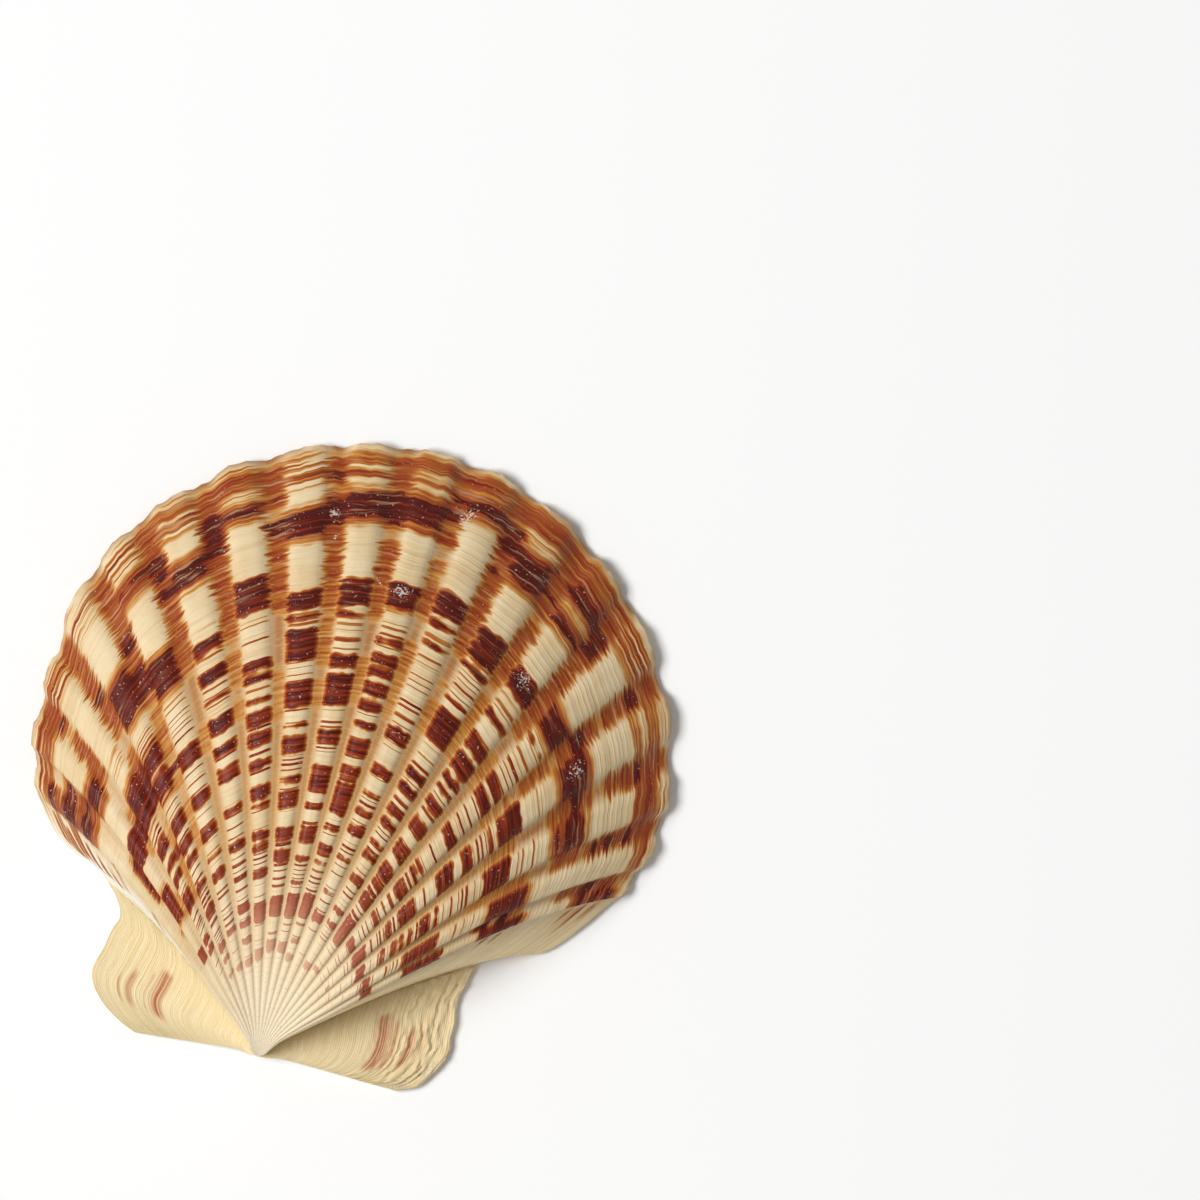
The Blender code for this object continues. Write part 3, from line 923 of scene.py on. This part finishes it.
def mark_ink(add, crest, groove, on_crest, shift, outer, inner):
    """1 inside the marks of one sort and 0 outside, eased from the crests into the grooves.

    A mark begins at the depth outer and is full at the depth inner, in mm along growth."""
    sides = []
    for name in (groove, crest):
        depth = add("ADD", add(FIELD, attribute_name=name, output=2), shift)
        sides.append(add(RANGE, depth, outer, inner))
    return add(RANGE, on_crest, 0.0, 1.0, *sides)


def patterned_calcite(look):
    """Foliated calcite, grown in thin concentric layers and polished by water: satin to glossy, a
    little light passes into it, and its pigments lie in blocks and thin arcs along each rib."""
    material, tree = new_material("patterned calcite, outside")
    add = partial(add_node, tree)
    count, growth, gap, age, ear_streak, worn = (
        add(FIELD, attribute_name=name, output=2)
        for name in ("rib_count", "growth", "crest_gap", "age", "streak", "worn")
    )
    rib = add("FLOOR", add("ADD", count, 0.5))
    rib_key = add("MULTIPLY", rib, RIB_NOISE_STEP)
    lined = partial(lined_noise, add, count, age)

    # Pigment was laid down line by line at the growing edge, so the sides of a mark are ragged along
    # the growth lines: each line reaches a little further or less far across the rib.
    ragged = lined(0.9, RAGGED_MM, rib_key)
    slow = lined(3.2, MARK_DRIFT_MM, 3.7, 1.0)
    shift = add(RANGE, slow, 0.0, 1.0, -0.35, 0.35)
    crest_half = add(RANGE, growth, 0.15, 0.95, 0.36, 0.33)
    reach = add(RANGE, growth, 0.62, 0.85, 0.08, 0.42)
    side = add("MULTIPLY", add("SUBTRACT", ragged, 0.5), reach)
    side = add("ADD", side, add("SUBTRACT", crest_half, gap))
    on_crest = add(RANGE, side, -SIDE_EASE, SIDE_EASE)
    dark_ink = mark_ink(add, "crest_dark", "groove_dark", on_crest, shift, -0.10, 0.22)
    amber_ink = mark_ink(add, "crest_amber", "groove_amber", on_crest, shift, -0.55, 0.4)

    # Ink runs from 0, bare shell, through orange-brown at a half to 1, the darkest maroon. The marks
    # of the middle growth are redder, and those near the edge darker.
    darkest = add(RANGE, growth, 0.40, 0.78, 0.80, 1.0)
    dark_ink = add("MULTIPLY", dark_ink, darkest)
    amber_most = add(RANGE, growth, 0.6, 0.8, 0.26, 0.56)
    amber_ink = add("MULTIPLY", amber_ink, amber_most)
    streaks = lined(0.7, STREAK_MM, 11.0, 3.0)

    # Thin arcs of pigment between the marks.
    arc_drift = lined_noise(add, rib, age, 3.1, ARC_DRIFT_MM, 5.0, 1.0)
    arc_phase = add("DIVIDE", age, ARC_MM)
    arc_phase = add("ADD", arc_phase, add("MULTIPLY", arc_drift, 5.0))
    arc_cell = add("FLOOR", arc_phase)
    chance = add("ShaderNodeTexWhiteNoise", add(XYZ, rib, arc_cell, 1.0))
    arc_line = add("SUBTRACT", add("FRACT", arc_phase), 0.5)
    arc_line = add("ABSOLUTE", arc_line)
    arc_half = add("MULTIPLY", add(RANGE, chance, 0.25, 1.0, 0.0, 0.30), add(RANGE, growth, 0.15, 0.3))
    arc = add(RANGE, add("SUBTRACT", arc_half, arc_line), -0.05, 0.06)
    for limit in (
        add(RANGE, side, -0.02, 0.08),
        add(RANGE, growth, 0.80, 0.66),
        add(RANGE, count, 1.2, 2.2),
        add(RANGE, count, 16.6, 15.2),
        add(RANGE, chance, 0.0, 1.0, 0.30, 0.80),
    ):
        arc = add("MULTIPLY", arc, limit)

    # Outer band: fine orange-brown lines along the last growth, with a bare margin at the very edge.
    band = lined(0.45, BAND_LINE_MM, 23.0)
    band = add(RANGE, band, 0.41, 0.61, 0.0, 0.72)
    for limit in (
        add(RANGE, growth, 0.925, 0.955),
        add(RANGE, growth, 0.996, 0.985),
        add(RANGE, count, -0.9, 0.4),
        add(RANGE, count, 17.2, 15.8),
    ):
        band = add("MULTIPLY", band, limit)

    flank_ink = add(RANGE, streaks, 0.36, 0.56, 0.25, 1.0)
    flank_ink = add("MULTIPLY", flank_ink, ear_streak)
    on_ear = add("ADD", add("LESS_THAN", count, LEFT_SUTURE), add("GREATER_THAN", count, RIGHT_SUTURE))
    off_ear = add("SUBTRACT", 1.0, on_ear)
    flank_only = add("MULTIPLY", flank_ink, off_ear)
    ink = add("MAXIMUM", dark_ink, amber_ink)
    for other in (arc, band, add("MULTIPLY", flank_only, 0.75)):
        ink = add("MAXIMUM", ink, other)
    unsteady = add("MULTIPLY", add(RANGE, streaks, 0.32, 0.68, -0.26, 0.26), add(RANGE, ink, 0.05, 0.4))
    ink = add("ADD", ink, unsteady)

    # Painted highlight: thin light lines, painted along the raised growth lines across the bands near the
    # edge, where they would catch the light.
    pale = lined(1.3, RAISED_LINE_HIGHLIGHT_MM, 31.0)
    pale = add("MULTIPLY", add(RANGE, pale, 0.58, 0.68), add(RANGE, growth, 0.66, 0.86, 0.0, 0.42))
    ink = add("MULTIPLY", ink, add(RANGE, growth, 0.999, 0.988, 0.2, 1.0))
    pigment = add("ShaderNodeValToRGB", ink)
    stops = pigment.node.color_ramp
    stops.elements[0].color = linear(MARK_FRINGE)
    stops.elements[1].color = look.maroon
    for place, colour in ((0.22, look.ochre), (0.46, look.amber), (0.74, look.russet)):
        stops.elements.new(place).color = colour

    at = add("ShaderNodeTexCoord", output=3)
    clouds, painted_glints, crumbs, patches, grain = (
        add(NOISE, at, named={"Scale": 1 / (size * MM), "Detail": detail})
        for size, detail in (
            (CLOUD_MM, 3.0), (GLINT_PAINTED_MM, 0.0), (CRUMB_MM, 3.0), (PATCH_MM, 2.0), (GRAIN_MM, 4.0),
        )
    )

    # Ears: yellower, with fine growth lines and thin reddish streaks.
    ear_lines = lined(1.2, EAR_LINE_MM, 53.0, 3.0)
    ear_ink = add("MULTIPLY", ear_streak, add(RANGE, ear_lines, 0.60, 0.44, 0.45, 0.95))
    ear_ground = look.ear
    for share, colour in ((add(RANGE, ear_lines, 0.38, 0.66), look.ear_light), (ear_ink, look.ear_streak)):
        ear_ground = add(MIX, share, named={UNDER: ear_ground, OVER: colour}, **RGBA)

    # Ground: clouded cream ribs; tan grooves that deepen with growth, partly their own tan and partly
    # painted shade between the ribs; paler by the beak.
    tan = add(MIX, add(RANGE, growth, 0.38, 0.68), named={UNDER: look.tan, OVER: look.tan_deep_and_groove_shade}, **RGBA)
    # Painted shade, together with the grooves' own tan: the grooves between the ribs are darkened.
    groove_tan_and_shade = add(RANGE, gap, 0.27, 0.46, 0.0, 0.85)
    for limit in (
        add(RANGE, growth, 0.12, 0.42),
        add(RANGE, count, -0.6, 3.6, 0.1, 1.0),
        add(RANGE, count, 17.2, 15.4),
    ):
        groove_tan_and_shade = add("MULTIPLY", groove_tan_and_shade, limit)
    lines = lined(0.25, CREAM_LINE_MM, 41.0)
    lines = add("MULTIPLY", add(RANGE, lines, 0.56, 0.64), add(RANGE, growth, 0.25, 0.75, 0.05, 0.4))
    ground = look.cream
    for share, colour in (
        (add(RANGE, clouds, 0.35, 0.7), look.cream_shade),
        (groove_tan_and_shade, tan),
        (add(RANGE, growth, 0.32, 0.04, 0.0, 0.85), look.beak_white),
        # Painted light: the flanks beside the ribs are painted lighter to stand for light on their steep
        # walls, the left one white and partly its own colour, the right one a warm light tone.
        (add(RANGE, count, FIRST_GROOVE + 0.2, LEFT_SUTURE + 0.5), look.flank_white_and_painted_light),
        (add(RANGE, count, LAST_GROOVE, LAST_GROOVE + 0.3), look.flank_painted_warm_light),
        (lines, linear(CREAM_LINE)),
        (on_ear, ear_ground),
    ):
        ground = add(MIX, share, named={UNDER: ground, OVER: colour}, **RGBA)

    # Near the beak the marks are worn to a pinkish brown.
    redder = add(RANGE, growth, 0.17, 0.34)
    worn_mark = add(MIX, redder, named={UNDER: linear(WORN_PINK), OVER: linear(WORN_RED)}, **RGBA)
    inked = add(MIX, add(RANGE, growth, 0.24, 0.40), named={UNDER: worn_mark, OVER: pigment}, **RGBA)
    cover = add("MULTIPLY", add(RANGE, ink, 0.03, 0.24), add(RANGE, growth, 0.13, 0.26, 0.5, 1.0))
    cover = add("MULTIPLY", cover, off_ear)
    # The painted highlight lines show only over the marks.
    pale = add("MULTIPLY", pale, add(RANGE, ink, 0.1, 0.4))

    # Painted highlights: small light-coloured glints, painted over the dark marks where the raised points
    # of the growth lines would catch the light.
    # Then rubbed spots, white and broken, and a brown line in places along the very edge.
    painted_glints = add("MULTIPLY", add(RANGE, painted_glints, 0.755, 0.81), add(RANGE, ink, 0.5, 0.8, 0.0, 0.5))
    rubbed = add("ADD", add(RANGE, crumbs, 0.0, 1.0, -2.6, 2.1), worn)
    rubbed = add("MULTIPLY", add(RANGE, rubbed, 0.35, 0.6), add(RANGE, worn, -0.5, 0.2))
    rim_brown = add(RANGE, growth, 0.990, 0.999, 0.0, 0.6)
    rim_brown = add("MULTIPLY", rim_brown, add(RANGE, patches, 0.40, 0.52))
    surface_colour = ground
    for share, colour in (
        (cover, inked),
        (pale, linear(RAISED_LINE_HIGHLIGHT)),
        (painted_glints, linear(GLINT_PAINTED_PALE)),
        (add("MULTIPLY", rubbed, 0.6), linear(RUBBED_WHITE)),
        (rim_brown, linear(RIM_BROWN)),
    ):
        surface_colour = add(MIX, share, named={UNDER: surface_colour, OVER: colour}, **RGBA)

    # Bump: growth lirae, threads along the flanks, and fine grain, as heights in mm.
    lira_phase = add("MULTIPLY", age, np.pi / LIRA_MM)
    lira_phase = add("ADD", lira_phase, add("MULTIPLY", arc_drift, 7.0))
    lirae = add("ABSOLUTE", add("SINE", lira_phase))
    lirae = add("POWER", lirae, 6.0)
    lirae = add("MULTIPLY", lirae, add(RANGE, growth, 0.1, 0.7, 0.008, 0.03))
    fine = lined(1.5, FINE_LINE_MM, 61.0, 3.0)
    thread = add("SINE", add("MULTIPLY", count, 2 * np.pi * THREADS))
    left_of_ribs = add(RANGE, count, FIRST_GROOVE + 0.1, FIRST_GROOVE - 0.1)
    right_of_ribs = add(RANGE, count, LAST_GROOVE - 0.1, LAST_GROOVE + 0.1)
    on_flank = add("ADD", left_of_ribs, right_of_ribs)
    thread = add("MULTIPLY", thread, add("MULTIPLY", on_flank, off_ear))
    hinge_line = add("COMPARE", count, HINGE_LINE_COUNT, 0.014)
    hinge_line = add("MULTIPLY", hinge_line, add(RANGE, growth, 0.55, 0.7))
    height = lirae
    for part, size in (
        (fine, 0.05), (thread, 0.012), (grain, 0.022), (rubbed, 0.04), (hinge_line, 0.08),
    ):
        height = add("MULTIPLY_ADD", part, size, height)
    bump = add("ShaderNodeBump", named={"Height": height, "Distance": MM, "Strength": 0.9})
    surface = add("ShaderNodeBsdfPrincipled", named={
        "Base Color": surface_colour,
        "Roughness": add(RANGE, clouds, 0.3, 0.7, 0.34, 0.48),
        "IOR": 1.56,
        "Specular IOR Level": 0.17,
        "Normal": bump,
        "Subsurface Weight": 0.06,
        "Subsurface Radius": (1.0, 0.6, 0.35),
        "Subsurface Scale": 0.0007,
    })
    add("ShaderNodeOutputMaterial", surface)
    return material


def inner_calcite(look):
    """The smooth, unworn inner layer of the valve: satin white in the middle, cream to tan with
    rayed stains towards the edge, and a yellow hinge plate."""
    material, tree = new_material("smooth calcite, inside")
    add = partial(add_node, tree)
    count, growth, gap = (
        add(FIELD, attribute_name=name, output=2) for name in ("rib_count", "growth", "crest_gap")
    )
    at = add("ShaderNodeTexCoord", output=3)
    clouds = add(NOISE, at, named={"Scale": 1 / (INNER_CLOUD_MM * MM), "Detail": 3.0})
    rays = lined_noise(add, count, growth, 2.4, 0.6, 2.0, 3.0)
    outward = add("ADD", growth, add(RANGE, rays, 0.0, 1.0, -0.18, 0.18))
    stain = add("MULTIPLY", add(RANGE, gap, 0.42, 0.22), add(RANGE, outward, 0.62, 0.92, 0.0, 0.6))
    colour = look.inner_white
    for share, layer in (
        (add(RANGE, outward, 0.42, 0.8), look.inner_cream),
        (add(RANGE, clouds, 0.42, 0.72, 0.0, 0.35), linear(INNER_PINK)),
        (stain, linear(INNER_STAIN)),
        (add(RANGE, growth, 0.975, 1.0, 0.0, 0.5), linear(INNER_RIM)),
        (add(RANGE, growth, 0.16, 0.03, 0.0, 0.6), look.hinge_yellow),
    ):
        colour = add(MIX, share, named={UNDER: colour, OVER: layer}, **RGBA)
    age = add("MULTIPLY", growth, float(LONGEST_RAY))
    lines = lined_noise(add, count, age, 0.4, INNER_LINE_MM, 9.0, 3.0)
    grain = add(NOISE, at, named={"Scale": 1 / (INNER_GRAIN_MM * MM), "Detail": 3.0})
    height = add("MULTIPLY", lines, 0.03)
    height = add("MULTIPLY_ADD", grain, 0.008, height)
    bump = add("ShaderNodeBump", named={"Height": height, "Distance": MM, "Strength": 0.8})
    surface = add("ShaderNodeBsdfPrincipled", named={
        "Base Color": colour,
        "Roughness": add(RANGE, clouds, 0.3, 0.7, 0.24, 0.36),
        "IOR": 1.56,
        "Normal": bump,
        "Coat Weight": 0.3,
        "Coat Roughness": 0.1,
        "Subsurface Weight": 0.12,
        "Subsurface Radius": (1.0, 0.7, 0.45),
        "Subsurface Scale": 0.0012,
    })
    add("ShaderNodeOutputMaterial", surface)
    return material


class SHELL_OT_valve(bpy.types.Operator):
    """Builds the patterned valve in place of the plain solid"""

    bl_idname = "shell.make_valve"
    bl_label = "Scallop valve"

    def execute(self, context):
        look = context.scene.shell_look
        base = bpy.data.objects.new("valve_base", smooth_valve_mesh("valve_base", look))
        context.scene.collection.objects.link(base)
        tree = relief_tree([patterned_calcite(look), inner_calcite(look)])
        modifier = base.modifiers.new("Relief", "NODES")
        modifier.node_group = tree
        values = {name: getattr(look, setting) for name, setting in RELIEF_INPUTS}
        for item in tree.interface.items_tree:
            if item.in_out == "INPUT" and item.name in values:
                modifier[item.identifier] = values[item.name]
        graph = context.evaluated_depsgraph_get()
        mesh = bpy.data.meshes.new_from_object(base.evaluated_get(graph))
        mesh.name = "scallop_valve"
        bpy.data.objects.remove(base)
        if len(mesh.polygons) == 0:
            raise RuntimeError("the relief tree gave no faces")
        mesh.shade_smooth()
        mesh.set_sharp_from_angle(angle=np.radians(SHARP_EDGE_DEG))
        valve = bpy.data.objects.new("scallop_valve", mesh)
        context.scene.collection.objects.link(valve)
        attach(valve, "root")
        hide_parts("valve")
        return {"FINISHED"}


class SHELL_OT_stage(bpy.types.Operator):
    """Adds the pale floor, the soft light and the camera above"""

    bl_idname = "shell.make_stage"
    bl_label = "Floor, light and camera"

    def execute(self, context):
        look = context.scene.stage_look
        scene = context.scene
        half = look.floor_size / 2
        mesh = bpy.data.meshes.new("floor")
        corners = ((-half, -half), (half, -half), (half, half), (-half, half))
        mesh.from_pydata([(x, y, -FLOOR_DROP) for x, y in corners], [], [(0, 1, 2, 3)])
        floor = bpy.data.objects.new("floor", mesh)
        scene.collection.objects.link(floor)
        material, tree = new_material("matt white board")
        add = partial(add_node, tree)
        at = add("ShaderNodeTexCoord", output=3)
        tone = add(NOISE, at, named={"Scale": 1 / (BOARD_GRAIN_MM * MM), "Detail": 2.0})
        surface = add("ShaderNodeBsdfPrincipled", look.floor_white, named={
            "Roughness": add(RANGE, tone, 0.0, 1.0, 0.75, 0.85), "Specular IOR Level": 0.2,
        })
        add("ShaderNodeOutputMaterial", surface)
        mesh.materials.append(material)

        turn = np.radians(VIEW_TURN_DEG)
        right = np.array([np.cos(turn), np.sin(turn), 0.0])
        up = np.array([-np.sin(turn), np.cos(turn), 0.0])
        key_from = KEY_UP * up - KEY_LEFT * right + np.array([0.0, 0.0, KEY_RISE])
        light = bpy.data.lights.new("key", "AREA")
        light.shape = "SQUARE"
        light.size = look.key_size
        light.energy = look.key_power
        light.color = KEY_COLOUR
        key = bpy.data.objects.new("key", light)
        key.location = tuple(key_from * KEY_DISTANCE / np.linalg.norm(key_from))
        key.rotation_mode = "QUATERNION"
        key.rotation_quaternion = key.location.to_track_quat("Z", "Y")
        scene.collection.objects.link(key)

        world = bpy.data.worlds.new("studio")
        world.use_nodes = True
        world.node_tree.nodes.clear()
        glow = add_node(world.node_tree, "ShaderNodeBackground", named={
            "Color": linear(SKY_WHITE), "Strength": look.sky,
        })
        add_node(world.node_tree, "ShaderNodeOutputWorld", glow)
        scene.world = world
        scene.view_settings.view_transform = "Standard"

        origin = shell_origin(column_counts(), scene.shell_look)
        lens = bpy.data.cameras.new("camera")
        lens.sensor_width = SENSOR_MM
        lens.lens = SENSOR_MM * CAMERA_HEIGHT / (VIEW_WIDTH_MM * MM)
        lens.clip_end = 100.0
        camera = bpy.data.objects.new("camera", lens)
        centre = (np.array(VIEW_CENTRE_FROM_BEAK) - origin[:2]) * MM
        camera.location = (centre[0], centre[1], CAMERA_HEIGHT)
        camera.rotation_euler = (0.0, 0.0, turn)
        scene.collection.objects.link(camera)
        scene.camera = camera
        return {"FINISHED"}


class SHELL_PT_panel(bpy.types.Panel):
    """Lists the pieces and their sizes and colours"""

    bl_idname = "SHELL_PT_panel"
    bl_label = "Scallop valve"
    bl_space_type = "VIEW_3D"
    bl_region_type = "UI"
    bl_category = "Shell"

    def draw(self, context):
        for look, operator in (
            (context.scene.shell_look, SHELL_OT_valve),
            (context.scene.stage_look, SHELL_OT_stage),
        ):
            box = self.layout.box()
            box.operator(operator.bl_idname)
            for name in look.__annotations__:
                box.prop(look, name)


CLASSES = (ShellProperties, StageProperties, SHELL_OT_valve, SHELL_OT_stage, SHELL_PT_panel)


def register():
    for kind in CLASSES:
        bpy.utils.register_class(kind)
    bpy.types.Scene.shell_look = bpy.props.PointerProperty(type=ShellProperties)
    bpy.types.Scene.stage_look = bpy.props.PointerProperty(type=StageProperties)


def unregister():
    del bpy.types.Scene.stage_look
    del bpy.types.Scene.shell_look
    for kind in reversed(CLASSES):
        bpy.utils.unregister_class(kind)


def main():
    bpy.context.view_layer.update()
    register()
    bpy.ops.shell.make_valve()
    bpy.ops.shell.make_stage()


if __name__ == "__main__":
    main()
